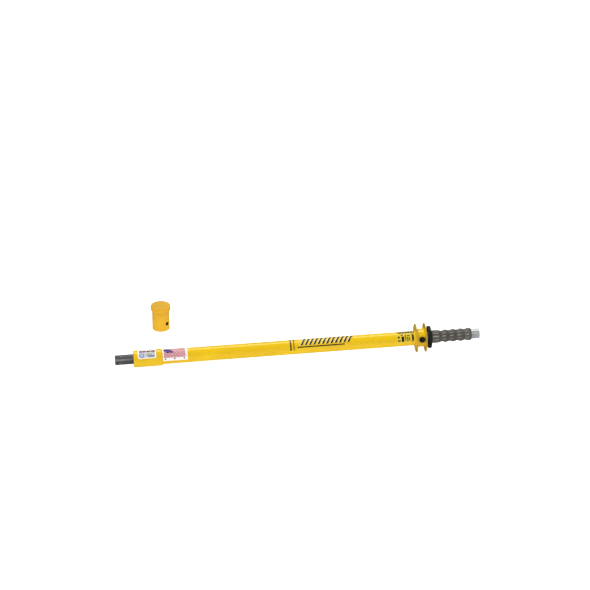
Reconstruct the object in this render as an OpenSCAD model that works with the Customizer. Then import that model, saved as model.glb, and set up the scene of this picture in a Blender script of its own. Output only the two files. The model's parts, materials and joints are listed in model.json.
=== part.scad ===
// Slide-hammer bead breaker. A long steel ram runs inside the barrel and strikes
// the drive shank at the nose; a striking cap for the shank stands beside the tool.
// X runs along the tool's axis from the shank's tip face to the handle end, Z is up.
// The tool lies on its nose collar and its guard; "near" is the -Y side.

/* [Drive shank] */
// Diameter of the drive shank and of the ram that strikes it
shank_d = 28; // [27:0.1:28.6]
// Length of shank that stands out of the nose collar
shank_out = 52; // [44:0.5:60]
// Depth of the flat on top of the shank's tip
tip_flat_depth = 2.8; // [1.5:0.1:4]
// Length of that flat
tip_flat_l = 13; // [8:0.5:16]
// Depth of the witness groove at the mouth of a head that is pushed home
mark_depth = 0.5; // [0.3:0.1:0.8]
// How far the shank slides back when it is pressed on the work
shank_travel = 10; // [5:0.5:12]
// Diameter of the shoulder that keeps the shank in the collar
shoulder_d = 37; // [34:0.5:38]
// Radius of the shank's blind cross hole, for the nose of a locking pin
shank_hole_r = 3.5; // [2.5:0.1:4]

/* [Nose collar] */
// Outer diameter of the nose collar
collar_d = 48; // [46.5:0.1:50]
// Length of the nose collar
collar_l = 81.6; // [78:0.2:90]
// Thickness of the collar's front wall
collar_wall = 10; // [8:0.5:12]
// Rounding of the collar's two ends
collar_round = 2.4; // [1:0.1:3]
// Thickness of the cushion ring in front of the shank's shoulder
front_cushion_l = 10; // [8:0.5:12]

/* [Barrel tube] */
// Outer diameter of the tube
tube_d = 41.3; // [39:0.1:42]
// Bore of the tube, where the ram's guide bands run
tube_bore_d = 33; // [32.6:0.1:33.4]
// Where the tube ends, behind the rear flange
tube_end_x = 888.5; // [860:0.5:920]

/* [Guard] */
// Diameter of the two flanges
flange_d = 82.55; // [76:0.5:90]
// Thickness of a flange at its rim
flange_rim_t = 2.8; // [2:0.1:3.5]
// Thickness of a flange at its root
flange_root_t = 4.4; // [3.6:0.1:5]
// Distance between the two flanges
flange_pitch = 26.3; // [25:0.1:30]
// Distance from the rear flange's middle to the tube's end
flange_end_gap = 4.3; // [3:0.1:6]
// Diameter of the hub between the flanges
hub_d = 51.6; // [48:0.2:54]

/* [Lock screw] */
// Radius of the lock screw's shank
lock_r = 4.72; // [4.5:0.01:4.9]
// Radius of the lock screw's domed head
lock_head_r = 8.8; // [7.5:0.1:9]
// Angle of the lock screw above the horizontal, on the near side
lock_angle = 15; // [0:1:40]

/* [Ram] */
// Length of the ram's head
ram_head_l = 40; // [36:1:46]
// Width of one guide band
band_w = 5.8; // [5:0.1:6.4]
// Length of the rear bushing
bushing_l = 54; // [46:1:60]
// Length of the bumper in front of the rear bushing
bumper_l = 12; // [8:0.5:16]

/* [Handle] */
// Diameter of the rubber hand guard
hand_guard_d = 63.5; // [58:0.5:70]
// Thickness of the rubber hand guard
hand_guard_t = 10.7; // [8:0.1:12]
// Length of the grip
grip_l = 115; // [112:0.5:120]
// Largest diameter of the grip's finger lobes
grip_lobe_d = 36.8; // [34:0.1:38]
// Diameter of the grip between two lobes
grip_neck_d = 31; // [28:0.1:32]
// Distance between two finger lobes
lobe_pitch = 22; // [21:0.1:22.5]
// Diameter of the steel handle end
handle_end_d = 28.6; // [27:0.1:30]
// Length of the steel handle end
handle_end_l = 23.5; // [22:0.5:30]

/* [Striking cap] */
// Height of the cap
cap_h = 75.5; // [72:0.5:80]
// Diameter of the cap's sleeve
cap_d = 50.2; // [46:0.1:52]
// Diameter of the cap's striking head
cap_head_d = 57.8; // [54:0.1:60]
// Height where the sleeve starts to widen
cap_sleeve_h = 56; // [50:0.1:58]
// Height where the head reaches its full diameter
cap_head_h = 62; // [59:0.1:66]
// Depth of the socket for the shank
cap_socket_depth = 51; // [46:0.5:52]
// Height of the side hole above the cap's mouth
cap_hole_h = 22.5; // [18:0.5:26]
// Radius of the side hole, for a locking pin
cap_hole_r = 5.4; // [4.5:0.1:6]
// Place of the cap along the tool
cap_x = 144.2; // [100:0.1:300]
// Place of the cap behind the tool
cap_y = 224; // [120:0.1:300]

/* [Labels] */
// Thickness of a label
label_t = 0.25; // [0.15:0.05:0.4]

/* [Hidden] */
$fn = 96;

run_gap = 0.06;    // radial clearance of a running fit
side_gap = 0.1;    // clearance beside a band or a key
strike_gap = 0.5;  // between the pressed-in shank and the ram at rest
cut = 1;           // how far a cutting tool reaches past a face

shank_r = shank_d / 2;
tube_r = tube_d / 2;
tube_bore_r = tube_bore_d / 2;
collar_r = collar_d / 2;
flange_r = flange_d / 2;
hub_r = hub_d / 2;
cap_r = cap_d / 2;

// stations along the axis, from the tip to the handle end
cushion_x = shank_out + collar_wall;
shoulder_x = cushion_x + front_cushion_l;
shoulder_l = 20;
tube_x = shoulder_x + shoulder_l + shank_travel + 2;
collar_end_x = shank_out + collar_l;
shank_tail_x = collar_end_x + 6.3;
ram_x = shank_tail_x + shank_travel + strike_gap;
ram_head_end_x = ram_x + ram_head_l;
flange_rear_x = tube_end_x - flange_end_gap;
flange_front_x = flange_rear_x - flange_pitch;
bushing_end_x = tube_end_x - 7;
bushing_x = bushing_end_x - bushing_l;
bumper_x = bushing_x - bumper_l;
lock_x = (flange_front_x + flange_rear_x) / 2 + 1.6;
hand_guard_x = tube_end_x + 3.3;
grip_x = hand_guard_x + hand_guard_t;
handle_end_x = grip_x + grip_l;

// witness groove and cross hole of the shank; the cap's side hole lies over the cross
// hole when the cap is pushed home
mark_x = cap_socket_depth - 2.5;
shank_hole_x = cap_socket_depth - cap_hole_h;
shank_hole_depth = 5;

bushing_r = 17.5;
ring_groove_r = 18.2;
ring_l = 2;
key_r = 3;
key_tip_r = 14.2;
ram_head_r = tube_bore_r - 0.3;
band_in_r = ram_head_r - 1.6;
band_groove_w = band_w + 2 * side_gap;
band_stations = [ram_x + 5.5, ram_head_end_x - 5.5 - band_groove_w];
front_spigot_r = 9;
front_spigot_l = 30;
rear_spigot_r = 11;
head_pin_r = 3;
head_pin_x = (ram_x + ram_head_end_x) / 2;

pad_in_r = shank_r + 0.5;
pad_l = 4.5;
screw_head_x = hub_r + 1.3;

cap_socket_r = shank_r + 0.15;
cap_hole_turn = -47;
// the tool rests on the collar and the front flange, so its axis rises from the floor
floor_slope = (flange_r - collar_r) / (flange_front_x - shank_out);
cap_base_z = -collar_r - floor_slope * (cap_x - shank_out);

function cap_profile() = [
    [cap_socket_r + 1, 0], [cap_r - 1.2, 0], [cap_r, 1.2], [cap_r, cap_sleeve_h],
    [cap_head_d / 2, cap_head_h], [cap_head_d / 2, cap_h - 4],
    for (a = [15 : 15 : 75]) [cap_head_d / 2 - 4 + 4 * cos(a), cap_h - 4 + 4 * sin(a)],
    [cap_head_d / 2 - 4, cap_h], [0, cap_h], [0, cap_socket_depth],
    [cap_socket_r, cap_socket_depth], [cap_socket_r, 1]
];

// ---------- helpers ----------

// puts a shape that is built along +Z along +X, from station x
module along_x(x = 0) {
    translate([x, 0, 0])
        rotate([0, 90, 0])
            children();
}

// turns an outline of [radius, station] points about the tool's axis
module turned(points) {
    along_x()
        rotate_extrude()
            polygon(points);
}

// a plain bar or a ring along the axis
module bar(x, l, r) {
    along_x(x)
        cylinder(h = l, r = r);
}
module ring(x, l, r_out, r_in) {
    turned([[r_in, x], [r_out, x], [r_out, x + l], [r_in, x + l]]);
}

// a place for a radial piece: +Z points out of the axis, a degrees above the near horizontal
module radial(x, a) {
    translate([x, 0, 0])
        rotate([90 - a, 0, 0])
            children();
}

// a thin skin on a tube of radius r, from angle a0 to a1 above the near horizontal
module skin(x, l, r, a0, a1) {
    along_x(x)
        rotate([0, 0, -90 - a1])
            rotate_extrude(angle = a1 - a0)
                translate([r, 0])
                    square([label_t, l]);
}

module lock_bore() {
    radial(lock_x, lock_angle)
        cylinder(h = flange_r, r = lock_r + run_gap);
}

// ---------- barrel ----------

module barrel_tube() {
    color("gold")
        difference() {
            turned([
                [tube_bore_r, tube_x], [tube_r, tube_x], [tube_r, tube_end_x - 0.8],
                [tube_r - 0.8, tube_end_x], [bushing_r, tube_end_x],
                [bushing_r, bushing_end_x + ring_l], [ring_groove_r, bushing_end_x + ring_l],
                [ring_groove_r, bushing_end_x], [bushing_r, bushing_end_x],
                [bushing_r, bushing_x], [tube_bore_r, bushing_x]
            ]);
            lock_bore();
        }
}

// rounded at both ends; the shank's shoulder and the tube's nose sit in its wide bore
module nose_collar() {
    color("gold")
        difference() {
            turned([
                [shank_r + run_gap, shank_out + 0.6], [shank_r + run_gap + 0.6, shank_out],
                for (a = [-90 : 15 : 0])
                    [collar_r - collar_round * (1 - cos(a)),
                     shank_out + collar_round * (1 + sin(a))],
                for (a = [0 : 15 : 90])
                    [collar_r - collar_round * (1 - cos(a)),
                     collar_end_x - collar_round * (1 - sin(a))],
                [tube_r, collar_end_x], [tube_r, cushion_x], [shank_r + run_gap, cushion_x]
            ]);
            radial(shoulder_x + shoulder_l / 2, -90)
                translate([0, 0, tube_r - cut])
                    cylinder(h = 10, r = key_r);
        }
}

// a dowel through the collar's underside, in the shoulder's keyway
module shank_key() {
    color("dimgray")
        radial(shoulder_x + shoulder_l / 2, -90)
            translate([0, 0, key_tip_r])
                cylinder(h = collar_r - 0.8 - key_tip_r, r = key_r);
}

module front_cushion() {
    color("darkred")
        ring(cushion_x, front_cushion_l, tube_r - 0.3, shank_r + 0.5);
}

module guard_hub() {
    weld = 2;
    weld_l = 2.2;
    x0 = flange_front_x + flange_root_t / 2;
    x1 = flange_rear_x - flange_root_t / 2;
    color("gold")
        difference() {
            turned([
                [tube_r, x0], [hub_r + weld, x0],
                for (a = [20 : 20 : 80])
                    [hub_r + weld * (1 - sin(a)), x0 + weld_l * (1 - cos(a))],
                [hub_r, x0 + weld_l], [hub_r, x1 - weld_l],
                for (a = [80 : -20 : 20])
                    [hub_r + weld * (1 - sin(a)), x1 - weld_l * (1 - cos(a))],
                [hub_r + weld, x1], [tube_r, x1]
            ]);
            lock_bore();
        }
}

module guard_flange(x) {
    rim = flange_rim_t / 2;
    root = flange_root_t / 2;
    edge = 0.8;
    turned([
        [tube_r, x - root], [hub_r, x - root], [flange_r - edge, x - rim],
        [flange_r, x - rim + edge], [flange_r, x + rim - edge], [flange_r - edge, x + rim],
        [hub_r, x + root], [tube_r, x + root]
    ]);
}

module guard_flange_front() {
    color("gold")
        guard_flange(flange_front_x);
}

module guard_flange_rear() {
    color("gold")
        guard_flange(flange_rear_x);
}

module rear_bushing() {
    color("peru")
        difference() {
            ring(bushing_x, bushing_l, bushing_r, shank_r + run_gap);
            lock_bore();
        }
}

module rear_bumper() {
    color("darkred")
        ring(bumper_x, bumper_l, tube_bore_r - 0.2, shank_r + 0.4);
}

// an internal retaining ring with a gap at the top
module bushing_snap_ring() {
    color("dimgray")
        difference() {
            ring(bushing_end_x, ring_l, ring_groove_r, shank_r + 0.8);
            translate([bushing_end_x - cut, -3, 0])
                cube([ring_l + 2 * cut, 6, flange_r]);
        }
}

// ---------- labels ----------

module label_nose() {
    color("whitesmoke")
        skin(shank_out + 12.8, 51.3, collar_r, 24, 137);
}

module label_stripes() {
    color("pink")
        skin(collar_end_x + 1, 70, tube_r, -9, 122);
}

// two narrow bars round the tube, then a row of slanted bars over a straight one
module label_graphic() {
    first_x = 523;
    bars = 12;
    bar_pitch = 12.2;
    bar_w = 7.5;
    lean = 13;
    a0 = 36;
    a1 = 104;
    half_h = tube_r * sin((a1 - a0) / 2);
    color("black") {
        skin(495.5, 4, tube_r, 0, 112);
        skin(505.2, 2.6, tube_r, 0, 112);
        skin(first_x - 7, 135, tube_r, 18, 28);
        for (i = [0 : bars - 1])
            intersection() {
                skin(first_x - 10, 180, tube_r, a0, a1);
                radial(first_x + i * bar_pitch, (a0 + a1) / 2)
                    linear_extrude(tube_d)
                        polygon([[0, -half_h], [bar_w, -half_h],
                                 [bar_w + lean, half_h], [lean, half_h]]);
            }
    }
}

module label_warning() {
    color("yellow")
        skin(flange_front_x - 57.5, 52, tube_r, -3, 122);
}

// ---------- shank ----------

module drive_shank() {
    color("dimgray")
        difference() {
            turned([
                [0, 0], [shank_r - 0.8, 0], [shank_r, 0.8],
                [shank_r, mark_x], [shank_r - mark_depth, mark_x],
                [shank_r - mark_depth, cap_socket_depth + 0.5],
                [shank_r, cap_socket_depth + 0.5], [shank_r, shoulder_x],
                [shoulder_d / 2 - 1, shoulder_x], [shoulder_d / 2, shoulder_x + 1],
                [shoulder_d / 2, shoulder_x + shoulder_l - 1],
                [shoulder_d / 2 - 1, shoulder_x + shoulder_l], [shank_r, shoulder_x + shoulder_l],
                [shank_r, shank_tail_x - 1.5], [shank_r - 1.5, shank_tail_x], [0, shank_tail_x]
            ]);
            // flat on the tip
            translate([-cut, -shank_r, shank_r - tip_flat_depth])
                cube([tip_flat_l + cut, shank_d, shank_r]);
            // keyway in the shoulder, open at both ends
            translate([shoulder_x - 0.01, -key_r - side_gap, -shoulder_d])
                cube([shoulder_l + 0.02, 2 * (key_r + side_gap), shoulder_d - key_tip_r + side_gap]);
            // cross hole for the cap's locking pin, on the far side
            radial(shank_hole_x, 180)
                translate([0, 0, shank_r - shank_hole_depth])
                    cylinder(h = shank_r, r = shank_hole_r);
        }
}

// ---------- ram ----------

// two split wear rings that carry the ram's head in the tube
module ram_guide_bands() {
    color("tan")
        difference() {
            for (x = band_stations)
                ring(x + side_gap, band_w, tube_bore_r - run_gap, band_in_r + run_gap);
            translate([ram_x, -0.7, 0])
                cube([ram_head_l, 1.4, tube_d]);
        }
}

module ram_head() {
    color("gray")
        difference() {
            turned([
                [0, ram_x], [ram_head_r - 1.5, ram_x], [ram_head_r, ram_x + 1.5],
                for (x = band_stations)
                    each [[ram_head_r, x], [band_in_r, x],
                          [band_in_r, x + band_groove_w], [ram_head_r, x + band_groove_w]],
                [ram_head_r, ram_head_end_x - 1], [ram_head_r - 1, ram_head_end_x],
                [front_spigot_r, ram_head_end_x], [front_spigot_r, ram_head_end_x - front_spigot_l],
                [0, ram_head_end_x - front_spigot_l]
            ]);
            radial(head_pin_x, 90)
                cylinder(h = tube_d, r = head_pin_r, center = true);
        }
}

module ram_head_pin() {
    color("silver")
        radial(head_pin_x, 90)
            cylinder(h = 2 * ram_head_r - 1.2, r = head_pin_r, center = true);
}

module ram_rod() {
    color("silver")
        difference() {
            union() {
                bar(ram_head_end_x - front_spigot_l, front_spigot_l, front_spigot_r);
                bar(ram_head_end_x, hand_guard_x - ram_head_end_x, shank_r);
                bar(hand_guard_x, handle_end_x + handle_end_l - 7 - hand_guard_x, rear_spigot_r);
            }
            radial(head_pin_x, 90)
                cylinder(h = tube_d, r = head_pin_r, center = true);
        }
}

// ---------- handle ----------

module grip_guard() {
    r = hand_guard_d / 2;
    edge = 2;
    x1 = hand_guard_x + hand_guard_t;
    color("#202020")
        turned([
            [rear_spigot_r, hand_guard_x], [r - edge, hand_guard_x],
            for (a = [-60 : 30 : 0])
                [r - edge * (1 - cos(a)), hand_guard_x + edge * (1 + sin(a))],
            for (a = [0 : 30 : 90])
                [r - edge * (1 - cos(a)), x1 - 1.6 - edge * (1 - sin(a))],
            [grip_lobe_d / 2 + 4, x1 - 1.4], [grip_lobe_d / 2 + 2, x1],
            [rear_spigot_r, x1]
        ]);
}

// a plain barrel, then four finger lobes, then a rolled end
module grip() {
    lobe_r = grip_lobe_d / 2;
    neck_r = grip_neck_d / 2;
    lobes = 4;
    per_lobe = 12;
    end_l = 4.5;
    after_l = 3.2;
    plain_l = grip_l - lobes * lobe_pitch - after_l - end_l;
    x0 = grip_x + plain_l;
    color("#5c5a54")
        turned([
            [rear_spigot_r, grip_x], [lobe_r - 0.6, grip_x], [lobe_r - 0.3, x0 - 1.5],
            for (i = [0 : lobes * per_lobe])
                [(lobe_r + neck_r) / 2 + (lobe_r - neck_r) / 2 * cos(360 * i / per_lobe),
                 x0 + lobe_pitch * i / per_lobe],
            for (a = [0 : 15 : 75])
                [lobe_r - end_l * (1 - cos(a)), handle_end_x - end_l * (1 - sin(a))],
            [lobe_r - end_l, handle_end_x], [rear_spigot_r, handle_end_x]
        ]);
}

module handle_end() {
    r = handle_end_d / 2;
    x1 = handle_end_x + handle_end_l;
    color("silver")
        turned([
            [rear_spigot_r, handle_end_x], [r, handle_end_x],
            [r, x1 - 1.6], [r - 1.6, x1], [0, x1], [0, x1 - 7], [rear_spigot_r, x1 - 7]
        ]);
}

// ---------- lock ----------

// the brass pad that presses on the ram; the screw pushes it and turns behind it
module lock_pad() {
    color("goldenrod")
        radial(lock_x, lock_angle)
            translate([0, 0, pad_in_r])
                cylinder(h = pad_l, r = lock_r - 0.3);
}

module lock_screw() {
    hex_r = 3.2;
    dome = 4.4;
    color("#181818")
        radial(lock_x, lock_angle)
            difference() {
                rotate_extrude()
                    polygon([
                        [0, pad_in_r + pad_l], [lock_r, pad_in_r + pad_l],
                        [lock_r, screw_head_x], [lock_head_r, screw_head_x],
                        [lock_head_r, screw_head_x + 1],
                        for (a = [10 : 10 : 90])
                            [lock_head_r * cos(a), screw_head_x + 1 + dome * sin(a)]
                    ]);
                translate([0, 0, screw_head_x + 2.4])
                    cylinder(h = dome + cut, r = hex_r, $fn = 6);
            }
}

// ---------- striking cap ----------

// stands square on the floor that the tool lies on
module striking_cap() {
    color("goldenrod")
        translate([cap_x, cap_y, cap_base_z])
            rotate([0, atan(floor_slope), 0])
                difference() {
                    rotate_extrude()
                        polygon(cap_profile());
                    rotate([0, 0, cap_hole_turn])
                        translate([0, 0, cap_hole_h])
                            rotate([0, 90, 0])
                                cylinder(h = cap_d, r = cap_hole_r);
                }
}

barrel_tube();
nose_collar();
shank_key();
front_cushion();
guard_hub();
guard_flange_front();
guard_flange_rear();
rear_bushing();
rear_bumper();
bushing_snap_ring();
label_nose();
label_stripes();
label_graphic();
label_warning();
drive_shank();
ram_guide_bands();
ram_head();
ram_head_pin();
ram_rod();
grip_guard();
grip();
handle_end();
lock_pad();
lock_screw();
striking_cap();
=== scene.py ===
"""Looks for the slide-hammer bead breaker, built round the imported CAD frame.

Everything is in metres in the row's frame: X runs along the tool from the shank's tip,
Z is up, and "near" is the -Y side, where the camera stands.
"""

import json
import math

import bmesh
import bpy
from mathutils import Matrix, Vector


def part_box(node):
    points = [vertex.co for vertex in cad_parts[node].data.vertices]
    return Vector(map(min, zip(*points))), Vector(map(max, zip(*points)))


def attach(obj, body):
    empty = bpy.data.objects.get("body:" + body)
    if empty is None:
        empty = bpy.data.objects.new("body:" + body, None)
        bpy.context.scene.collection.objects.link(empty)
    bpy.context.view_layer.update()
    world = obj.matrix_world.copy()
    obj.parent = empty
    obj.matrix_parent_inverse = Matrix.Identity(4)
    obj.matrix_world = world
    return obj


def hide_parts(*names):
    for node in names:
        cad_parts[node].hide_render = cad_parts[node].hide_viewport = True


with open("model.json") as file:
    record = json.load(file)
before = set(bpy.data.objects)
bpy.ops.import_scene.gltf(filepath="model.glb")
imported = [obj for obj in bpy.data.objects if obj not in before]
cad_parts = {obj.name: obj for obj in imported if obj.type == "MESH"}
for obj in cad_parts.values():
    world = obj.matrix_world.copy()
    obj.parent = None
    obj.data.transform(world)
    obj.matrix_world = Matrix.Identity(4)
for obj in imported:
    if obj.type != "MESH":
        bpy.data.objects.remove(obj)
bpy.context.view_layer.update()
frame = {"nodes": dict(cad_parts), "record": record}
nodes = frame["nodes"]

MM = 0.001
TAU = 2 * math.pi


def span_x(node):
    """Where a node starts and ends along the tool."""
    low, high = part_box(node)
    return low.x, high.x


def radius_of(node):
    """Largest radius of a node that is round about the tool's axis."""
    low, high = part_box(node)
    return (high.y - low.y) / 2


def srgb(r, g, b):
    """A colour as a screen shows it, 0 to 255, as the linear colour that a shader takes."""

    def linear(c):
        c /= 255
        return c / 12.92 if c <= 0.04045 else ((c + 0.055) / 1.055) ** 2.4

    return (linear(r), linear(g), linear(b), 1.0)


# ---------------------------------------------------------------- materials


class Shade:
    """A procedural material: short names for the nodes that the finishes share."""

    def __init__(self, name, rough=0.5, metal=0.0, **sockets):
        self.material = bpy.data.materials.new(name)
        self.material.use_nodes = True
        self.tree = self.material.node_tree
        self.bsdf = self.tree.nodes["Principled BSDF"]
        self.coords = self.tree.nodes.new("ShaderNodeTexCoord")
        self.set("Roughness", rough)
        self.set("Metallic", metal)
        for socket, value in sockets.items():
            self.set(socket.replace("_", " "), value)

    def set(self, socket, value):
        self.bsdf.inputs[socket].default_value = value

    def link(self, source, target):
        self.tree.links.new(source, target)

    def feed(self, socket, source):
        self.link(source, self.bsdf.inputs[socket])

    def node(self, kind, **values):
        made = self.tree.nodes.new(kind)
        for key, value in values.items():
            setattr(made, key, value)
        return made

    def put(self, socket, value):
        """Links a socket to an output, or sets its value."""
        if isinstance(value, bpy.types.NodeSocket):
            self.link(value, socket)
        else:
            socket.default_value = value

    def math(self, operation, a, b=0.0, clamp=False):
        made = self.node("ShaderNodeMath", operation=operation, use_clamp=clamp)
        self.put(made.inputs[0], a)
        self.put(made.inputs[1], b)
        return made.outputs[0]

    def place(self, scale):
        """Object coordinates stretched by scale."""
        made = self.node("ShaderNodeMapping")
        self.link(self.coords.outputs["Object"], made.inputs["Vector"])
        made.inputs["Scale"].default_value = scale
        return made.outputs[0]

    def noise(self, scale, detail=4.0, rough=0.55, at=None, distortion=0.0):
        made = self.node("ShaderNodeTexNoise")
        made.inputs["Scale"].default_value = scale
        made.inputs["Detail"].default_value = detail
        made.inputs["Roughness"].default_value = rough
        made.inputs["Distortion"].default_value = distortion
        self.link(at or self.coords.outputs["Object"], made.inputs["Vector"])
        return made.outputs["Fac"]

    def between(self, value, low, high, to_low=0.0, to_high=1.0):
        """Maps low..high to to_low..to_high, held at both ends."""
        made = self.node("ShaderNodeMapRange")
        self.put(made.inputs["Value"], value)
        made.inputs["From Min"].default_value = low
        made.inputs["From Max"].default_value = high
        made.inputs["To Min"].default_value = to_low
        made.inputs["To Max"].default_value = to_high
        return made.outputs["Result"]

    def mix(self, factor, a, b):
        made = self.node("ShaderNodeMix", data_type="RGBA")
        self.put(made.inputs["Factor"], factor)
        self.put(made.inputs["A"], a)
        self.put(made.inputs["B"], b)
        return made.outputs["Result"]

    def bump(self, height, strength, distance):
        made = self.node("ShaderNodeBump")
        made.inputs["Strength"].default_value = strength
        made.inputs["Distance"].default_value = distance
        self.link(height, made.inputs["Height"])
        self.feed("Normal", made.outputs["Normal"])

    def edges(self, low=0.53, high=0.6):
        """1 on convex edges, 0 on flat faces."""
        made = self.node("ShaderNodeNewGeometry")
        return self.between(made.outputs["Pointiness"], low, high)

    def painted(self, name):
        """A value that the mesh carries."""
        return self.node("ShaderNodeAttribute", attribute_name=name).outputs["Fac"]

    def streak(self, angle, half_width):
        """A ragged streak along the tool, angle degrees above the near side; the materials paint highlights
        with it.
        """
        a = math.radians(angle)
        place = self.node("ShaderNodeSeparateXYZ")
        self.link(self.coords.outputs["Object"], place.inputs[0])
        y, z = place.outputs[1], place.outputs[2]
        y_sin, y_cos = self.math("MULTIPLY", y, math.sin(a)), self.math("MULTIPLY", y, math.cos(a))
        z_sin, z_cos = self.math("MULTIPLY", z, math.sin(a)), self.math("MULTIPLY", z, math.cos(a))
        across, toward = self.math("ADD", y_sin, z_cos), self.math("SUBTRACT", z_sin, y_cos)
        near = self.math("GREATER_THAN", toward, 0.0)
        ragged = self.between(self.noise(1.0, 3.0, 0.6, self.place((30, 260, 260))), 0.35, 0.6, 0.35, 0.8)
        fade = self.between(self.math("ABSOLUTE", across), 0.0, half_width, 1.0, 0.0)
        return self.math("MULTIPLY", self.math("MULTIPLY", near, fade), ragged)

    def uv(self):
        made = self.node("ShaderNodeSeparateXYZ")
        self.link(self.coords.outputs["UV"], made.inputs[0])
        return made.outputs[0], made.outputs[1]

    def inside(self, u, u0, u1, v, v0, v1):
        """1 inside a rectangle of the UV square, 0 outside."""
        across = self.math("MULTIPLY", self.math("GREATER_THAN", u, u0), self.math("LESS_THAN", u, u1))
        up = self.math("MULTIPLY", self.math("GREATER_THAN", v, v0), self.math("LESS_THAN", v, v1))
        return self.math("MULTIPLY", across, up)

    def disc(self, u, v, u0, v0, r, aspect):
        """1 inside a round spot at (u0, v0); aspect is the label's width over its height."""
        du = self.math("MULTIPLY", self.math("SUBTRACT", u, u0), aspect)
        dv = self.math("SUBTRACT", v, v0)
        du_squared, dv_squared = self.math("MULTIPLY", du, du), self.math("MULTIPLY", dv, dv)
        away = self.math("SQRT", self.math("ADD", du_squared, dv_squared))
        return self.math("LESS_THAN", away, r)


def enamel(name, body, deep, wear_and_painted_light, scratch_axis="x", gloss=0.3, bare_and_shaded=None, shade_and_wear=None):
    """Sprayed enamel: soft mottling, orange peel, hairline scratches, chips at the edges.

    Two optional mesh values: one marks a bore with no paint in it, which is painted near-black as shade; the
    other marks painted shade in the crease under the cap's head and on the flange rims, and wear on the
    cap's top face.
    """
    s = Shade(name, rough=gloss, Coat_Weight=0.15, Coat_Roughness=0.15, Specular_IOR_Level=0.4)
    cloud = s.noise(9.0, 3.0)
    blotch = s.noise(38.0, 5.0, 0.6)
    base = s.mix(s.between(cloud, 0.35, 0.68), body, deep)
    base = s.mix(s.between(blotch, 0.55, 0.8, 0.0, 0.35), base, deep)
    stretch = {"x": (6, 420, 420), "z": (420, 420, 6)}[scratch_axis]
    hair = s.between(s.noise(1.0, 2.0, 0.5, s.place(stretch)), 0.69, 0.74)
    hair = s.math("MULTIPLY", hair, s.between(s.noise(30.0, 2.0), 0.5, 0.6))
    chips = s.math("MULTIPLY", s.edges(), s.between(s.noise(420.0, 4.0, 0.65), 0.56, 0.6))
    scuffs = s.between(s.noise(230.0, 6.0, 0.7, s.place((0.35, 1, 1))), 0.735, 0.76)
    base = s.mix(s.math("MULTIPLY", hair, 0.35), base, wear_and_painted_light)
    base = s.mix(s.math("MAXIMUM", chips, s.math("MULTIPLY", scuffs, 0.8)), base, wear_and_painted_light)
    # painted shade: darker in the crease under the cap's head and on the flange rims; on the cap's top face
    # it is wear
    if shade_and_wear:
        base = s.mix(s.math("MULTIPLY", s.painted(shade_and_wear), s.between(blotch, 0.3, 0.7, 0.4, 0.6)), base, wear_and_painted_light)
    # the bore is unpainted, and its near-black colour is painted shade inside the socket and the hole
    if bare_and_shaded:
        dark = s.mix(s.between(blotch, 0.3, 0.7), srgb(34, 26, 16), srgb(14, 11, 8))
        base = s.mix(s.painted(bare_and_shaded), base, dark)
    s.feed("Base Color", base)
    rough = s.between(blotch, 0.3, 0.75, gloss - 0.06, gloss + 0.12)
    s.feed("Roughness", s.math("ADD", rough, s.math("MULTIPLY", hair, 0.2), clamp=True))
    peel = s.noise(620.0, 2.0, 0.5)
    height = s.math("SUBTRACT", peel, s.math("MULTIPLY", s.math("MAXIMUM", chips, scuffs), 2.0))
    s.bump(s.math("SUBTRACT", height, s.math("MULTIPLY", hair, 0.8)), 0.22, 0.00012)
    return s.material


def steel(name, light, dark, rough, rust=0.0, metal=1.0, painted_highlight=None, wear_and_painted_light=None):
    """Turned or ground steel: fine lines across the stretch, stains and small nicks.

    An optional angle above the near side, in degrees, places a painted highlight there: a streak in the
    colour of the last argument.
    """
    s = Shade(name, rough=rough, metal=metal)
    turning = s.noise(1.0, 3.0, 0.6, s.place((900, 8, 8)))
    stain = s.noise(55.0, 6.0, 0.65, distortion=0.6)
    nick = s.between(s.noise(520.0, 3.0, 0.6), 0.66, 0.7)
    base = s.mix(s.between(stain, 0.38, 0.66), light, dark)
    base = s.mix(s.between(turning, 0.35, 0.7, 0.0, 0.45), base, dark)
    base = s.mix(s.math("MULTIPLY", s.edges(0.52, 0.58), 0.6), base, srgb(196, 198, 200))
    if rust:
        bloom = s.math("MULTIPLY", s.between(s.noise(95.0, 6.0, 0.7), 0.6, 0.72), rust)
        base = s.mix(bloom, base, srgb(92, 62, 44))
    # painted highlight: a pale streak along the side that faces the lights
    if painted_highlight is not None:
        base = s.mix(s.streak(painted_highlight, 0.0045), base, wear_and_painted_light)
    s.feed("Base Color", base)
    s.feed("Roughness", s.between(s.math("ADD", turning, stain), 0.7, 1.3, rough - 0.08, rough + 0.14))
    height = s.math("SUBTRACT", turning, s.math("MULTIPLY", nick, 1.2))
    s.bump(height, 0.25, 0.00008)
    return s.material


def rubber(name, body, dusty, rib=None):
    """Moulded rubber: fine stipple, dust in patches, roughness that varies in patches.

    An optional mesh value marks raised ribs, which get a painted highlight: pale grey all round, palest
    along the row that faces the key light.
    """
    rough = 0.62
    s = Shade(name, rough=rough, Specular_IOR_Level=0.3)
    cloud = s.noise(26.0, 5.0, 0.6)
    fine = s.noise(900.0, 3.0, 0.6)
    base = s.mix(s.between(cloud, 0.38, 0.7), body, dusty)
    base = s.mix(s.math("MULTIPLY", s.edges(0.52, 0.6), 0.45), base, dusty)
    if rib:
        # painted highlight: the ribs are paler all round and palest along the row that faces the key light
        highlight_row = s.math("MAXIMUM", s.streak(36, 0.008), 0.22)
        painted_highlight = s.math("MULTIPLY", s.between(s.painted(rib), 0.4, 0.85), highlight_row)
        base = s.mix(painted_highlight, base, srgb(196, 192, 186))
    s.feed("Base Color", base)
    s.feed("Roughness", s.between(s.noise(60.0, 3.0), 0.35, 0.7, rough - 0.14, rough + 0.1))
    s.bump(fine, 0.35, 0.00018)
    return s.material


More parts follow.
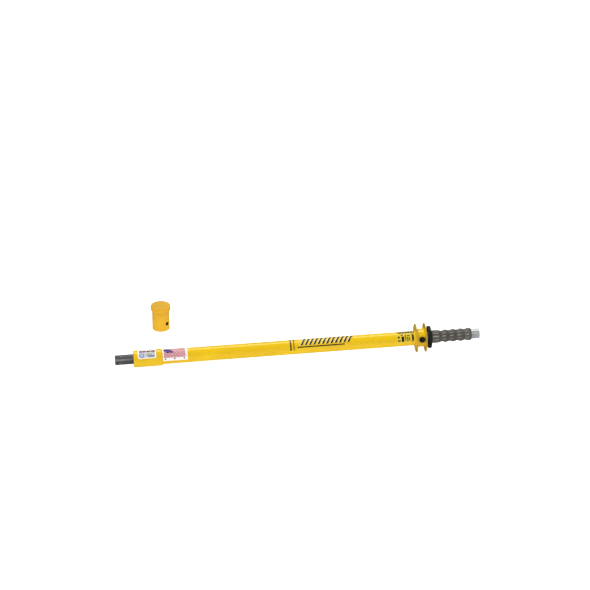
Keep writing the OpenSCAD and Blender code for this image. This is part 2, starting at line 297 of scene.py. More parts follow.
def metal_or_resin(name, body, deep, rough, metal):
    """Inner pieces: bronze, brass and urethane with turning marks and stains."""
    s = Shade(name, rough=rough, metal=metal)
    stain = s.noise(70.0, 5.0, 0.6)
    lines = s.noise(1.0, 2.0, 0.5, s.place((1400, 12, 12)))
    s.feed("Base Color", s.mix(s.between(stain, 0.35, 0.7), body, deep))
    s.feed("Roughness", s.between(lines, 0.3, 0.7, rough - 0.06, rough + 0.1))
    s.bump(lines, 0.2, 0.00006)
    return s.material


def vinyl(name, paint):
    """A printed vinyl label. paint(shade, u, v) gives the printed colour."""
    s = Shade(name, rough=0.42, Specular_IOR_Level=0.45)
    u, v = s.uv()
    ink = paint(s, u, v)
    rub = s.between(s.noise(240.0, 5.0, 0.65), 0.6, 0.78, 0.0, 0.45)
    s.feed("Base Color", s.mix(rub, ink, srgb(232, 228, 220)))
    s.feed("Roughness", s.between(s.noise(120.0, 3.0), 0.3, 0.7, 0.34, 0.55))
    s.bump(s.noise(500.0, 2.0), 0.15, 0.0001)
    return s.material


WHITE = srgb(243, 242, 240)
INK = srgb(28, 26, 30)


def paint_blocks(s, u, v, color, blocks):
    """Lays plain rectangles (left, right, low, high, tint) over a colour."""
    for left, right, low, high, tint in blocks:
        color = s.mix(s.inside(u, left, right, v, low, high), color, tint)
    return color


def paint_nose(s, u, v):
    """A plate with no words: a dark red band, a pale blue ring and soft grey-green blocks."""
    red, blue = srgb(104, 36, 38), srgb(100, 118, 172)
    color = paint_blocks(s, u, v, WHITE, [
        (0.06, 0.94, 0.06, 0.38, srgb(206, 207, 212)), (0.07, 0.95, 0.4, 0.55, red)])
    gaps = [(left, left + 0.018, 0.4, 0.55, WHITE) for left in (0.25, 0.46, 0.7)]
    color = paint_blocks(s, u, v, color, gaps)
    ring = s.math("SUBTRACT", s.disc(u, v, 0.21, 0.21, 0.15, 1.05), s.disc(u, v, 0.21, 0.21, 0.095, 1.05))
    color = s.mix(ring, color, blue)
    color = s.mix(s.disc(u, v, 0.21, 0.21, 0.055, 1.05), color, srgb(150, 176, 222))
    return paint_blocks(s, u, v, color, [
        (0.44, 0.92, 0.30, 0.35, srgb(140, 152, 104)), (0.44, 0.78, 0.22, 0.27, srgb(160, 164, 176)),
        (0.48, 0.93, 0.145, 0.2, srgb(106, 120, 142)), (0.56, 0.88, 0.08, 0.125, srgb(104, 100, 108)),
        (0.1, 0.92, 0.66, 0.7, srgb(150, 150, 156)), (0.1, 0.8, 0.76, 0.8, srgb(150, 150, 156)),
    ])


def paint_stripes(s, u, v):
    """Rose diamond hatching, a leaning indigo block, and a white foot with small dots."""
    climb = s.math("MULTIPLY", v, 0.7)
    rise, fall = s.math("ADD", climb, u), s.math("SUBTRACT", climb, u)
    hatch = [s.between(s.math("FRACT", s.math("MULTIPLY", way, 7.0)), 0.62, 0.72) for way in (rise, fall)]
    field = s.mix(s.math("MAXIMUM", *hatch), srgb(224, 178, 180), srgb(190, 116, 126))
    field = s.mix(s.between(s.noise(160.0, 4.0, 0.6), 0.4, 0.65, 0.0, 0.6), field, srgb(212, 152, 156))
    slanted = s.math("MULTIPLY", s.math("GREATER_THAN", rise, 0.5), s.math("LESS_THAN", rise, 0.83))
    block = s.math("MULTIPLY", slanted, s.inside(u, 0.04, 0.5, v, 0.5, 0.95))
    field = s.mix(s.inside(u, 0.04, 0.915, v, 0.84, 0.95), field, srgb(160, 104, 114))
    field = s.mix(block, field, srgb(64, 34, 116))
    color = s.mix(s.inside(u, 0.04, 0.915, v, 0.2, 0.95), WHITE, field)
    for u0 in (0.1, 0.47, 0.86):
        color = s.mix(s.disc(u, v, u0, 0.13, 0.05, 1.45), color, srgb(120, 96, 92))
    return color


def paint_warning(s, u, v):
    """A broken black heading over yellow, with a plain triangle, posts and dots."""
    yellow, olive = srgb(234, 202, 40), srgb(112, 104, 34)
    color = paint_blocks(s, u, v, yellow, [(0.06, 0.99, 0.62, 0.78, INK), (0.2, 0.99, 0.82, 0.92, INK)])
    color = paint_blocks(s, u, v, color, [
        (left, left + 0.02, 0.62, 0.92, yellow) for left in (0.14, 0.3, 0.47, 0.6, 0.77, 0.9)])
    rise = s.math("SUBTRACT", 0.46, s.math("MULTIPLY", s.math("ABSOLUTE", s.math("SUBTRACT", u, 0.12)), 1.7))
    triangle = s.math("MULTIPLY", s.math("LESS_THAN", v, rise), s.math("GREATER_THAN", v, 0.3))
    color = s.mix(triangle, color, INK)
    color = paint_blocks(s, u, v, color, [
        (0.27, 0.41, 0.05, 0.4, INK), (0.24, 0.36, 0.44, 0.56, olive), (0.06, 0.22, 0.06, 0.2, olive),
        (0.46, 0.53, 0.08, 0.54, olive), (0.57, 0.65, 0.06, 0.36, olive), (0.57, 0.75, 0.4, 0.5, olive),
        (0.68, 0.75, 0.1, 0.34, olive), (0.8, 0.97, 0.5, 0.56, INK), (0.8, 0.97, 0.04, 0.1, olive),
    ])
    for u0, v0 in ((0.9, 0.41), (0.9, 0.3), (0.9, 0.19)):
        color = s.mix(s.disc(u, v, u0, v0, 0.075, 1.2), color, INK)
    return color


def paint_black(s, u, v):
    """Black film; the first part of a bar's width is a white edge."""
    black = s.mix(s.between(s.noise(300.0, 4.0), 0.4, 0.7, 0.0, 0.25), INK, srgb(58, 48, 30))
    return s.mix(s.math("LESS_THAN", u, 0.2), black, srgb(250, 246, 214))


FINISH = {
    "yellow_paint": enamel("yellow_enamel", srgb(236, 196, 4), srgb(229, 184, 3), srgb(120, 106, 84),
                           shade_and_wear="shade_and_wear"),
    "cap_paint": enamel("cap_enamel", srgb(236, 184, 10), srgb(226, 166, 8), srgb(116, 100, 78),
                        "z", 0.45, bare_and_shaded="bore", shade_and_wear="shade_and_wear"),
    # painted highlight: a pale streak 27 degrees above the near side along the shank
    "dark_steel": steel("dark_steel", srgb(100, 100, 103), srgb(66, 66, 69), 0.42, rust=0.12, metal=0.25,
                        painted_highlight=27, wear_and_painted_light=srgb(168, 169, 172)),
    "hardened_steel": steel("hardened_steel", srgb(158, 159, 162), srgb(112, 113, 116), 0.34, metal=0.5),
    "ground_steel": steel("ground_steel", srgb(204, 206, 209), srgb(166, 168, 172), 0.28, metal=0.5),
    # painted highlight: a white streak 30 degrees above the near side along the handle end
    "polished_steel": steel("polished_steel", srgb(226, 228, 230), srgb(188, 190, 193), 0.34, metal=0.55,
                            painted_highlight=30, wear_and_painted_light=srgb(250, 250, 250)),
    "black_oxide": steel("black_oxide", srgb(70, 68, 60), srgb(40, 38, 34), 0.4, metal=0.6),
    "bearing_bronze": metal_or_resin("bronze", srgb(190, 144, 88), srgb(146, 106, 64), 0.35, 0.6),
    "brass_pad": metal_or_resin("brass", srgb(216, 180, 100), srgb(174, 138, 68), 0.3, 0.6),
    "urethane": metal_or_resin("urethane", srgb(146, 52, 40), srgb(112, 38, 30), 0.4, 0.0),
    "grip_rubber": rubber("grip_rubber", srgb(78, 75, 70), srgb(100, 96, 89), rib="rib"),
    "guard_rubber": rubber("guard_rubber", srgb(26, 26, 28), srgb(44, 44, 46)),
    "label_white": vinyl("label_plate", paint_nose),
    "label_striped": vinyl("label_stripes_print", paint_stripes),
    "label_yellow": vinyl("label_warning_print", paint_warning),
    "label_black": vinyl("label_black_print", paint_black),
}


def dress(piece, slot):
    piece.data.materials.clear()
    piece.data.materials.append(FINISH[slot])


# ---------------------------------------------------------------- meshes

SIDES = 128
SEAT = 0.01 * MM
HUB_BEAD = 2 * MM
FILM = 0.22 * MM
SPIGOT_R = 11 * MM
ALONG = Matrix(((0, 0, 1, 0), (0, 1, 0, 0), (-1, 0, 0, 0), (0, 0, 0, 1)))


def new_piece(name, bm):
    bmesh.ops.recalc_face_normals(bm, faces=bm.faces)
    mesh = bpy.data.meshes.new(name)
    bm.to_mesh(mesh)
    bm.free()
    piece = bpy.data.objects.new(name, mesh)
    bpy.context.scene.collection.objects.link(piece)
    return piece


def rounded(outline, steps=5, reach=0.0015):
    """An outline of (station, radius, fillet) corners as points, each corner an arc.

    A support point stands a little way down each long side, so that wear stays at the edge.
    """
    count = len(outline)
    points = []
    for i, (x, r, fillet) in enumerate(outline):
        here = Vector((x, r))
        back = Vector(outline[i - 1][:2]) - here
        on = Vector(outline[(i + 1) % count][:2]) - here
        on_axis = r < 1e-9
        if fillet <= 0 or on_axis:
            points.append((x, r))
            continue
        angle = back.angle(on)
        cut = fillet / math.tan(angle / 2)
        centre = here + (back.normalized() + on.normalized()).normalized() * fillet / math.sin(angle / 2)
        a, b = here + back.normalized() * cut, here + on.normalized() * cut
        if back.length > 2 * (cut + reach):
            points.append(tuple(here + back.normalized() * (cut + reach)))
        start, end = a - centre, b - centre
        for k in range(steps + 1):
            way = start.lerp(end, k / steps).normalized() * fillet
            points.append(tuple(centre + way))
        if on.length > 2 * (cut + reach):
            points.append(tuple(here + on.normalized() * (cut + reach)))
    return points


def lathe(name, outline, sides=SIDES, place=ALONG, closed=False, swell=None):
    """Turns an outline of (station, radius) points about the axis. swell(x, r, a) may move a point."""
    bm = bmesh.new()
    rings = []
    for x, r in outline:
        if r < 1e-9:
            rings.append([bm.verts.new((0, 0, x))])
            continue
        ring = []
        for k in range(sides):
            a = TAU * k / sides
            rr = swell(x, r, a) if swell else r
            ring.append(bm.verts.new((rr * math.cos(a), rr * math.sin(a), x)))
        rings.append(ring)
    pairs = list(zip(rings, rings[1:]))
    if closed:
        pairs.append((rings[-1], rings[0]))
    for a, b in pairs:
        if len(a) == 1 and len(b) == 1:
            continue
        for k in range(sides):
            n = (k + 1) % sides
            if len(a) == 1:
                bm.faces.new((a[0], b[k], b[n]))
            elif len(b) == 1:
                bm.faces.new((a[k], b[0], a[n]))
            else:
                bm.faces.new((a[k], b[k], b[n], a[n]))
    bmesh.ops.transform(bm, matrix=place, verts=bm.verts)
    return new_piece(name, bm)


def mark_vertices(piece, name, value_of):
    """Stores a value at every vertex, for a material to read."""
    layer = piece.data.attributes.new(name, "FLOAT", "POINT")
    for vert, slot in zip(piece.data.vertices, layer.data):
        slot.value = value_of(vert.co)


def mark_faces(piece, name, value_of):
    """Stores a value on every face, for a material to read."""
    layer = piece.data.attributes.new(name, "FLOAT", "FACE")
    for face, slot in zip(piece.data.polygons, layer.data):
        slot.value = value_of(face.center)


def smooth(piece, angle=40):
    """Smooth shading that keeps true corners sharp."""
    piece.data.shade_smooth()
    bm = bmesh.new()
    bm.from_mesh(piece.data)
    limit = math.radians(angle)
    for edge in bm.edges:
        edge.smooth = len(edge.link_faces) != 2 or edge.calc_face_angle(0) < limit
    bm.to_mesh(piece.data)
    bm.free()
    weighted = piece.modifiers.new("even_normals", "WEIGHTED_NORMAL")
    weighted.keep_sharp = True
    return piece


def carve(piece, tool, bevel=0.0):
    """Cuts tool out of piece, then rounds the edges that the cut left."""
    before = {tuple(round(c, 7) for c in v.co) for v in piece.data.vertices}
    cut = piece.modifiers.new("cut", "BOOLEAN")
    cut.operation = "DIFFERENCE"
    cut.solver = "EXACT"
    cut.object = tool
    dg = bpy.context.evaluated_depsgraph_get()
    made = bpy.data.meshes.new_from_object(piece.evaluated_get(dg))
    piece.modifiers.clear()
    old, piece.data = piece.data, made
    made.name = piece.name
    bpy.data.meshes.remove(old)
    bpy.data.objects.remove(tool)
    if bevel:
        bm = bmesh.new()
        bm.from_mesh(made)
        fresh = {v for v in bm.verts if tuple(round(c, 7) for c in v.co) not in before}
        rim = [
            e for e in bm.edges
            if e.verts[0] in fresh and e.verts[1] in fresh and len(e.link_faces) == 2
            and e.calc_face_angle(0) > math.radians(35)
        ]
        bmesh.ops.bevel(bm, geom=rim, offset=bevel, segments=2, affect="EDGES", profile=0.6,
                        clamp_overlap=True)
        bm.to_mesh(made)
        bm.free()


def rod_tool(radius, start, end, place, sides=96):
    """A plain cutting cylinder along +Z of place."""
    return lathe("cutter", [(start, 0), (start, radius), (end, radius), (end, 0)], sides, place)


def box_tool(low, high):
    bm = bmesh.new()
    bmesh.ops.create_cube(bm, size=1.0)
    size, centre = Vector(high) - Vector(low), (Vector(high) + Vector(low)) / 2
    bmesh.ops.transform(bm, matrix=Matrix.Translation(centre) @ Matrix.Diagonal((*size, 1)), verts=bm.verts)
    return new_piece("cutter", bm)


def radial_place(x, angle):
    """+Z points out of the axis at station x, angle degrees above the near horizontal."""
    return Matrix.Translation((x, 0, 0)) @ Matrix.Rotation(math.radians(90 - angle), 4, "X")


def finish_piece(piece, body, slot, *replaced):
    dress(piece, slot)
    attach(piece, body)
    if replaced:
        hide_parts(*replaced)
    return piece


# ---------------------------------------------------------------- barrel

tube_start, tube_end = span_x("barrel_tube")
tube_r = radius_of("barrel_tube")
collar_start, collar_end = span_x("nose_collar")
collar_r = radius_of("nose_collar")
shank_start, shank_end = span_x("drive_shank")
bore_r = radius_of("ram_guide_bands") + 0.06 * MM
bushing_start, bushing_end = span_x("rear_bushing")
lock_low, lock_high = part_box("lock_screw")
lock_x = (lock_low.x + lock_high.x) / 2
LOCK_ANGLE = 15.0
LOCK_R = 4.72 * MM
SHANK_R = 14.0 * MM
CAP_SOCKET = 51 * MM
CAP_HOLE_H = 22.5 * MM


def make_tube():
    bush_r = radius_of("rear_bushing")
    outline = [
        (tube_start, bore_r, 0), (tube_start, tube_r, 0.4 * MM), (tube_end, tube_r, 0.8 * MM),
        (tube_end, bush_r, 0.3 * MM), (bushing_start, bush_r, 0), (bushing_start, bore_r, 0),
    ]
    piece = lathe("barrel_tube_shell", rounded(outline), closed=True)
    carve(piece, rod_tool(LOCK_R + 0.1 * MM, 0, 60 * MM, radial_place(lock_x, LOCK_ANGLE)))
    finish_piece(smooth(piece), "barrel", "yellow_paint", "barrel_tube")


def make_collar():
    hole_r = SHANK_R + 0.06 * MM
    wall = span_x("front_cushion")[0]
    outline = [
        (collar_start, hole_r, 0.6 * MM), (collar_start, collar_r, 2.4 * MM),
        (collar_end, collar_r, 2.4 * MM), (collar_end, tube_r + SEAT, 0),
        (wall, tube_r + SEAT, 0), (wall, hole_r, 0),
    ]
    piece = lathe("nose_collar_shell", rounded(outline, 7), closed=True)
    key_low, key_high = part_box("shank_key")
    key_r = (key_high.x - key_low.x) / 2
    place = radial_place((key_low.x + key_high.x) / 2, -90)
    carve(piece, rod_tool(key_r + 0.02 * MM, 18 * MM, 40 * MM, place), 0.3 * MM)
    finish_piece(smooth(piece), "barrel", "yellow_paint", "nose_collar")


def make_hub():
    start, end = span_x("guard_hub")
    weld_r = radius_of("guard_hub")
    hub_r = weld_r - HUB_BEAD
    bead = 2.2 * MM
    steps = 6
    left = [(start + bead * (1 - math.cos(a)), weld_r - 2 * MM * math.sin(a))
            for a in [math.pi / 2 * k / steps for k in range(steps + 1)]]
    right = [(end - (x - start), r) for x, r in reversed(left)]
    middle = [(start + bead + 3 * MM, hub_r), (end - bead - 3 * MM, hub_r)]
    inner = [(end, tube_r + SEAT), (start, tube_r + SEAT)]
    piece = lathe("guard_hub_shell", left + middle + right + inner, closed=True)
    carve(piece, rod_tool(LOCK_R + 0.1 * MM, 0, 60 * MM, radial_place(lock_x, LOCK_ANGLE)), 0.4 * MM)
    finish_piece(smooth(piece, 50), "barrel", "yellow_paint", "guard_hub")


def make_flange(node):
    start, end = span_x(node)
    rim_r = radius_of(node)
    root_r = radius_of("guard_hub") - HUB_BEAD
    taper = 0.8 * MM
    inner_r = tube_r + SEAT
    outline = [
        (start, inner_r, 0), (start, root_r, 6 * MM), (start + taper, rim_r, 1.0 * MM),
        (end - taper, rim_r, 1.0 * MM), (end, root_r, 6 * MM), (end, inner_r, 0),
    ]
    piece = lathe(node + "_plate", rounded(outline, 6), closed=True, sides=160)
    # painted shade: the outer 4 mm of each flange rim is coloured darker
    mark_vertices(piece, "shade_and_wear", lambda co: 0.9 * (math.hypot(co.y, co.z) > rim_r - 4 * MM))
    finish_piece(smooth(piece), "barrel", "yellow_paint", node)


make_tube()
make_collar()
make_hub()
make_flange("guard_flange_front")
make_flange("guard_flange_rear")

# ---------------------------------------------------------------- labels


def patch(name, start, length, r, low, high, thick, corner, u_from=0.0):
    """A thin printed patch round a tube, with rounded corners and UVs over its rectangle.

    Its U runs from u_from to 1 along the tube, its V from 0 to 1 round it, upwards.
    """
    bm = bmesh.new()
    uv_layer = bm.loops.layers.uv.new("print")
    arc = r * math.radians(high - low)
    steps = 8
    corner_us = [corner * (1 - math.cos(math.pi / 2 * k / steps)) for k in range(steps + 1)]
    inner = max(2, int((length - 2 * corner) / (2.5 * MM)))
    us = corner_us + [corner + (length - 2 * corner) * k / inner for k in range(1, inner)]
    us += [length - u for u in reversed(corner_us)]
    wide = 48
    last = len(us) - 1
    where = {}

    def layer(radius):
        grid = []
        for u in us:
            gap = corner - min(u, length - u, corner)
            inset = corner - math.sqrt(max(corner**2 - gap**2, 0))
            row = []
            for k in range(wide + 1):
                v = inset + (arc - 2 * inset) * k / wide
                a = math.radians(low) + v / r
                vert = bm.verts.new((start + u, -radius * math.cos(a), radius * math.sin(a)))
                where[vert] = (u_from + (1 - u_from) * u / length, v / arc)
                row.append(vert)
            grid.append(row)
        for i in range(last):
            for k in range(wide):
                bm.faces.new((grid[i][k], grid[i + 1][k], grid[i + 1][k + 1], grid[i][k + 1]))
        return grid

    top = layer(r + thick)
    under = layer(r + 0.02 * MM)
    for k in range(wide):
        for i in (0, last):
            bm.faces.new((top[i][k], top[i][k + 1], under[i][k + 1], under[i][k]))
    for i in range(last):
        for k in (0, wide):
            bm.faces.new((top[i][k], top[i + 1][k], under[i + 1][k], under[i][k]))
    for face in bm.faces:
        for loop in face.loops:
            loop[uv_layer].uv = where[loop.vert]
    return new_piece(name, bm)


def make_label(node, slot, low, high, r, corner):
    start, end = span_x(node)
    inset = 0.1 * MM
    piece = patch(node + "_print", start + inset, end - start - 2 * inset, r, low, high, FILM, corner)
    finish_piece(smooth(piece, 60), "barrel", slot, node)


def make_graphic():
    """Two narrow bars round the tube, then slanted bars with a white edge over a straight one."""
    start = span_x("label_graphic")[0]
    round_low, round_high = 0.5, 111.5
    lean, low, high = 13 * MM, 36.5, 103.5
    shapes = [
        patch("bar", start + 0.1 * MM, 3.8 * MM, tube_r, round_low, round_high, FILM, 0.5 * MM, 0.3),
        patch("bar", start + 9.8 * MM, 2.4 * MM, tube_r, round_low, round_high, FILM, 0.5 * MM, 0.3),
        patch("bar", start + 20.6 * MM, 134.8 * MM, tube_r, 18.5, 27.5, FILM, 0.8 * MM, 0.3),
    ]
    for i in range(12):
        bar = patch("bar", start + (27.7 + 12.2 * i) * MM, 7.1 * MM, tube_r, low, high, FILM, 0.6 * MM)
        for vert in bar.data.vertices:
            a = math.degrees(math.atan2(vert.co.z, -vert.co.y))
            vert.co.x += lean * (a - low) / (high - low)
        shapes.append(bar)
    bm = bmesh.new()
    for shape in shapes:
        bm.from_mesh(shape.data)
        bpy.data.objects.remove(shape)
    piece = new_piece("label_graphic_print", bm)
    finish_piece(smooth(piece, 60), "barrel", "label_black", "label_graphic")


make_label("label_nose", "label_white", 24.5, 136.5, collar_r, 4 * MM)
make_label("label_stripes", "label_striped", -8.5, 121.5, tube_r, 0.8 * MM)
make_label("label_warning", "label_yellow", -2.5, 121.5, tube_r, 0.8 * MM)
make_graphic()

# ---------------------------------------------------------------- shank and ram


def make_shank():
    shoulder_start = span_x("front_cushion")[1]
    shoulder_r = radius_of("drive_shank")
    shoulder_end = shoulder_start + 20 * MM
    mark_start, mark_end, mark_r = CAP_SOCKET - 2.5 * MM, CAP_SOCKET + 0.5 * MM, SHANK_R - 0.5 * MM
    outline = [
        (shank_start, 0, 0), (shank_start, SHANK_R, 1.0 * MM),
        (mark_start, SHANK_R, 0.2 * MM), (mark_start, mark_r, 0),
        (mark_end, mark_r, 0), (mark_end, SHANK_R, 0.2 * MM),
        (shoulder_start, SHANK_R, 0), (shoulder_start, shoulder_r, 1.0 * MM),
        (shoulder_end, shoulder_r, 1.0 * MM), (shoulder_end, SHANK_R, 0),
        (shank_end, SHANK_R, 1.5 * MM), (shank_end, 0, 0),
    ]
    piece = lathe("drive_shank_bar", rounded(outline))
    flat_z = SHANK_R - 2.8 * MM
    carve(piece, box_tool((-2 * MM, -20 * MM, flat_z), (13 * MM, 20 * MM, 20 * MM)), 0.35 * MM)
    hole_x = CAP_SOCKET - CAP_HOLE_H
    carve(piece, rod_tool(3.5 * MM, SHANK_R - 5 * MM, 20 * MM, radial_place(hole_x, 180)), 0.4 * MM)
    keyway_low = (shoulder_start - 1 * MM, -3.1 * MM, -20 * MM)
    keyway_high = (shoulder_end + 1 * MM, 3.1 * MM, -14.1 * MM)
    carve(piece, box_tool(keyway_low, keyway_high))
    finish_piece(smooth(piece), "shank", "dark_steel", "drive_shank")


def make_hand_guard():
    start, end = span_x("grip_guard")
    r = radius_of("grip_guard")
    grip_r = radius_of("grip")
    outline = [
        (start, SPIGOT_R, 0), (start, r, 2 * MM), (end - 1.6 * MM, r, 2 * MM),
        (end - 1.4 * MM, grip_r + 4 * MM, 1.0 * MM), (end, grip_r + 2 * MM, 0.5 * MM), (end, SPIGOT_R, 0),
    ]
    piece = lathe("grip_guard_disc", rounded(outline, 6), closed=True)
    finish_piece(smooth(piece), "ram", "guard_rubber", "grip_guard")


def make_grip():
    """Finger lobes behind a plain root, with rows of raised bars along every lobe."""
    start, end = span_x("grip")
    bar_h = 0.55 * MM
    lobe_r = radius_of("grip") - bar_h
    neck_r = 31 / 2 * MM - bar_h / 2
    roll, after, lobes, pitch = 4.5 * MM, 3.2 * MM, 4, 22 * MM
    plain = end - start - lobes * pitch - after - roll
    rows = 12
    row_at = math.radians(243)
    inner_r = SPIGOT_R
    ramp = 1.8 * MM
    bars = [(1.5 * MM, plain + 1 * MM)]
    bars += [(plain + pitch * (i + 1) - 12.5 * MM, plain + pitch * (i + 1) + 0.5 * MM) for i in range(lobes)]

    def radius(x):
        along = x - start
        if along < plain - 2 * MM:
            return lobe_r
        wave = 0.5 + 0.5 * math.cos(TAU * (along - plain) / pitch)
        if along > plain + lobes * pitch:
            wave = 1.0
        return neck_r + (lobe_r - neck_r) * wave

    def rise(value, low, high):
        t = min(1.0, max(0.0, (value - low) / (high - low)))
        return t * t * (3 - 2 * t)

    def swell(x, r, a):
        if r < inner_r + 0.1 * MM:
            return r
        along = x - start
        across = rise(math.cos(rows * (a - row_at)), 0.05, 0.75)
        on_bar = max(rise(along, low, low + ramp) * rise(-along, -high, ramp - high) for low, high in bars)
        return r + bar_h * across * on_bar

    points = [(start, inner_r), (start, lobe_r - 0.8 * MM), (start + 0.25 * MM, lobe_r - 0.25 * MM)]
    count = 190
    stop = end - roll
    for k in range(count + 1):
        x = start + 0.8 * MM + (stop - start - 0.8 * MM) * k / count
        points.append((x, radius(x)))
    for k in range(1, 9):
        a = math.pi / 2 * k / 8
        points.append((stop + roll * math.sin(a), lobe_r - roll * (1 - math.cos(a))))
    points.append((end, inner_r))
    piece = lathe("grip_rubber_sleeve", points, 216, closed=True, swell=swell)
    mark_vertices(piece, "rib", lambda co: (math.hypot(co.y, co.z) - radius(co.x)) / bar_h)
    finish_piece(smooth(piece), "ram", "grip_rubber", "grip")


def make_handle_end():
    start, end = span_x("handle_end")
    r = radius_of("handle_end")
    outline = [
        (start, SPIGOT_R, 0), (start, r, 0.4 * MM), (end, r, 1.6 * MM), (end, 0, 0),
        (end - 7 * MM, 0, 0), (end - 7 * MM, SPIGOT_R, 0),
    ]
    piece = lathe("handle_end_nut", rounded(outline), closed=True)
    finish_piece(smooth(piece), "ram", "polished_steel", "handle_end")


def make_rod():
    """The ram's bar from its head to the hand guard, and its spigot inside the grip."""
    start = span_x("ram_head")[1]
    shoulder = span_x("grip_guard")[0]
    rod_start, rod_end = span_x("ram_rod")
    outline = [
        (rod_start, 0, 0), (rod_start, 9 * MM, 0.5 * MM), (start, 9 * MM, 0), (start, SHANK_R, 0.8 * MM),
        (shoulder, SHANK_R, 0.4 * MM), (shoulder, SPIGOT_R, 0),
        (rod_end, SPIGOT_R, 0.5 * MM), (rod_end, 0, 0),
    ]
    piece = lathe("ram_rod_bar", rounded(outline), 96)
    finish_piece(smooth(piece), "ram", "ground_steel", "ram_rod")


make_shank()
make_rod()
make_hand_guard()
make_grip()
make_handle_end()

# ---------------------------------------------------------------- lock screw


def make_lock_screw():
    head_r = (lock_high.x - lock_low.x) / 2
    hub_r = radius_of("guard_hub") - HUB_BEAD
    foot = hub_r + 1.3 * MM
    tip = SHANK_R + 5 * MM
    dome = 4.4 * MM
    steps = 14
    outline = [(tip, 0), (tip, LOCK_R - 0.4 * MM), (tip + 0.4 * MM, LOCK_R)]
    outline += [(foot, LOCK_R), (foot, head_r - 0.2 * MM)]
    outline += [(foot + 0.2 * MM, head_r), (foot + 0.9 * MM, head_r)]
    outline += [(foot + 1 * MM + dome * math.sin(a), head_r * math.cos(a))
                for a in [math.pi / 2 * k / steps for k in range(1, steps)]]
    outline.append((foot + 1 * MM + dome, 0))
    piece = lathe("lock_screw_button", outline, 96, radial_place(lock_x, LOCK_ANGLE))
    socket = lathe(
        "cutter",
        [(foot + 2.4 * MM, 0), (foot + 2.4 * MM, 3.2 * MM), (foot + 9 * MM, 3.2 * MM), (foot + 9 * MM, 0)],
        6, radial_place(lock_x, LOCK_ANGLE),
    )
    carve(piece, socket, 0.2 * MM)
    finish_piece(smooth(piece, 30), "lock_screw", "black_oxide", "lock_screw")


make_lock_screw()

# ---------------------------------------------------------------- striking cap


def make_cap():
    mounts = {mount["name"]: mount for mount in frame["record"]["mounts"]}
    top, upright = (Vector(mounts["cap_face"][key]) for key in ("pos_m", "axis"))
    head_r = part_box("striking_cap")[1].y - top.y
    height, sleeve_r, sleeve_h, head_h = 75.5 * MM, 25.1 * MM, 56 * MM, 62 * MM
    socket_r = SHANK_R + 0.15 * MM
    outline = [
        (0, socket_r, 0.8 * MM), (0, sleeve_r, 1.2 * MM), (sleeve_h, sleeve_r, 0.8 * MM),
        (head_h, head_r, 0.9 * MM), (height, head_r, 4.1 * MM), (height, 0, 0),
        (CAP_SOCKET, 0, 0), (CAP_SOCKET, socket_r, 1 * MM),
    ]
    lean = Vector((0, 0, 1)).rotation_difference(upright).to_matrix().to_4x4()
    stand = Matrix.Translation(top - height * upright) @ lean
    piece = lathe("striking_cap_body", rounded(outline, 7), closed=True, place=stand)
    hole = stand @ Matrix.Rotation(math.radians(-47), 4, "Z") @ Matrix.Translation((0, 0, CAP_HOLE_H))
    hole = hole @ Matrix.Rotation(math.radians(90), 4, "Y")
    hole_r = 5.4 * MM
    carve(piece, rod_tool(hole_r, 5 * MM, 40 * MM, hole), 0.5 * MM)
    from_stand, from_hole = stand.inverted(), hole.inverted()

    # marks the unpainted socket and hole, which the material paints near-black as shade
    def bore(co):
        here, there = from_stand @ co, from_hole @ co
        deep = math.hypot(here.x, here.y)
        in_socket = deep < socket_r + 0.2 * MM and here.z < CAP_SOCKET + 0.1 * MM
        in_hole = there.z > 0 and math.hypot(there.x, there.y) < hole_r + 0.05 * MM
        return float(in_socket or (in_hole and deep < sleeve_r - 0.2 * MM))

    # painted shade: a dark line in the crease under the head, where the head shadows the sleeve; the top
    # face is marked for wear
    def shade_and_wear(co):
        z = (from_stand @ co).z
        return 0.8 * (abs(z - sleeve_h) < 0.7 * MM) + 0.5 * (z > height - 0.5 * MM)

    mark_faces(piece, "bore", bore)
    mark_vertices(piece, "shade_and_wear", shade_and_wear)
    finish_piece(smooth(piece), "cap", "cap_paint", "striking_cap")


make_cap()

# CAD nodes whose shape is right keep it and take a finished material
for entry in frame["record"]["subparts"]:
    node = nodes[entry["node"]]
    dress(node, entry["material_slot"])
    node.data.shade_smooth()

# ---------------------------------------------------------------- floor, light and camera

flange_r = radius_of("guard_flange_front")
flange_x = sum(span_x("guard_flange_front")) / 2
LIE = math.atan2(flange_r - collar_r, flange_x - collar_start)
FLOOR_UP = Vector((math.sin(LIE), 0, math.cos(LIE)))
FLOOR_ALONG = Vector((math.cos(LIE), 0, -math.sin(LIE)))
FLOOR_AT = Vector((collar_start, 0, -collar_r - 0.25 * MM))


def make_floor():
    """A glowing white table, tilted as the tool lies."""
    bm = bmesh.new()
    bmesh.ops.create_grid(bm, x_segments=8, y_segments=8, size=14.0)
    floor = new_piece("studio_floor", bm)
    floor.matrix_world = Matrix.Translation(FLOOR_AT) @ Matrix.Rotation(LIE, 4, "Y")
    floor.visible_glossy = False
    s = Shade("studio_white", rough=0.75, Emission_Color=(1, 1, 1, 1), Emission_Strength=1.0)
    tone = s.noise(1.3, 3.0)
    s.feed("Base Color", s.mix(s.between(tone, 0.3, 0.7), srgb(178, 178, 178), srgb(174, 174, 174)))
    floor.data.materials.append(s.material)


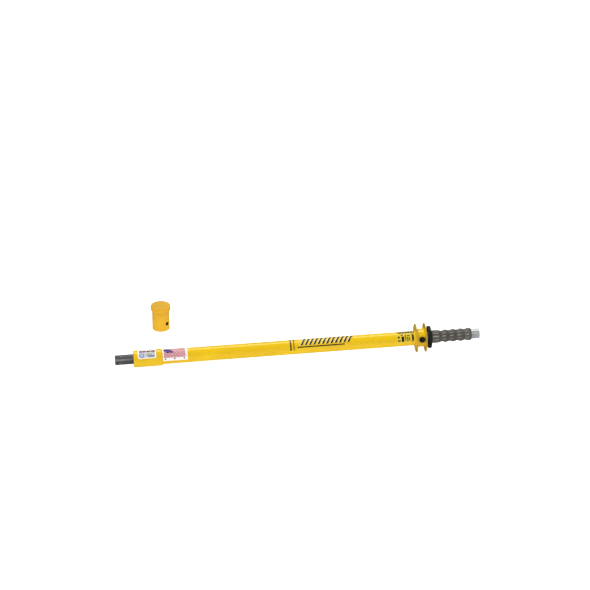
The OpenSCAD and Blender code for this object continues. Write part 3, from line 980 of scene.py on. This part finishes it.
def make_light(name, azimuth, elevation, distance, size, watts, diffuse=True, glossy=True):
    """A soft box that faces the tool's middle; azimuth 0 is the near side, 180 the far side."""
    a, e = math.radians(azimuth), math.radians(elevation)
    away = Vector((math.sin(a) * math.cos(e), -math.cos(a) * math.cos(e), math.sin(e)))
    data = bpy.data.lights.new(name, "AREA")
    data.shape = "RECTANGLE"
    data.size, data.size_y = size
    data.energy = watts
    lamp = bpy.data.objects.new(name, data)
    lamp.location = Vector((0.5, 0.05, 0)) + distance * away
    lamp.rotation_mode = "QUATERNION"
    lamp.rotation_quaternion = (-away).to_track_quat("-Z", "Y")
    lamp.visible_diffuse = diffuse
    lamp.visible_glossy = glossy
    bpy.context.scene.collection.objects.link(lamp)


def make_room():
    """A dim white room. Reflections see it darker, as between the black flags of a table set,
    and the view sees it as white paper.
    """
    world = bpy.data.worlds.new("studio")
    bpy.context.scene.world = world
    world.use_nodes = True
    tree = world.node_tree
    path = tree.nodes.new("ShaderNodeLightPath")
    tone = tree.nodes.new("ShaderNodeMapRange")
    tone.inputs["To Min"].default_value = 0.3
    tone.inputs["To Max"].default_value = 0.06
    paper = tree.nodes.new("ShaderNodeMath")
    paper.operation = "MAXIMUM"
    tree.links.new(path.outputs["Is Glossy Ray"], tone.inputs["Value"])
    tree.links.new(path.outputs["Is Camera Ray"], paper.inputs[0])
    tree.links.new(tone.outputs["Result"], paper.inputs[1])
    tree.links.new(paper.outputs[0], tree.nodes["Background"].inputs["Strength"])
    tree.nodes["Background"].inputs["Color"].default_value = (1, 1, 1, 1)


def make_studio():
    make_room()
    make_light("key", -6.6, 56, 3.6, (2.4, 1.6), 67, glossy=False)
    make_light("far_fill", 165, 40, 3.4, (2.2, 1.2), 22, glossy=False)
    make_light("top_strip", 180, 63, 2.6, (3.4, 0.35), 44)
    make_light("front_strip", -6.6, 27, 3.6, (3.2, 0.3), 4, diffuse=False)


AZIMUTH = -6.705
ELEVATION = 27.0
DISTANCE = 6.8
LENS = 146.16
AIM_X = 0.5111
AIM_UP = 0.1474


def make_camera():
    """Looks from the photograph's angle, measured from the floor that the tool lies on."""
    a, e = math.radians(AZIMUTH), math.radians(ELEVATION)
    across = Vector((0, 1, 0))
    back = (math.sin(a) * math.cos(e) * FLOOR_ALONG - math.cos(a) * math.cos(e) * across
            + math.sin(e) * FLOOR_UP)
    right = math.cos(a) * FLOOR_ALONG + math.sin(a) * across
    up = back.cross(right)
    data = bpy.data.cameras.new("photo_camera")
    data.lens = LENS
    data.clip_start, data.clip_end = 0.1, 60
    camera = bpy.data.objects.new("photo_camera", data)
    camera.matrix_world = Matrix.Translation(Vector((AIM_X, 0, 0)) + AIM_UP * up + DISTANCE * back) @ Matrix(
        (right, up, back)).transposed().to_4x4()
    bpy.context.scene.collection.objects.link(camera)
    bpy.context.scene.camera = camera


make_floor()
make_studio()
make_camera()
bpy.context.scene.view_settings.view_transform = "Standard"
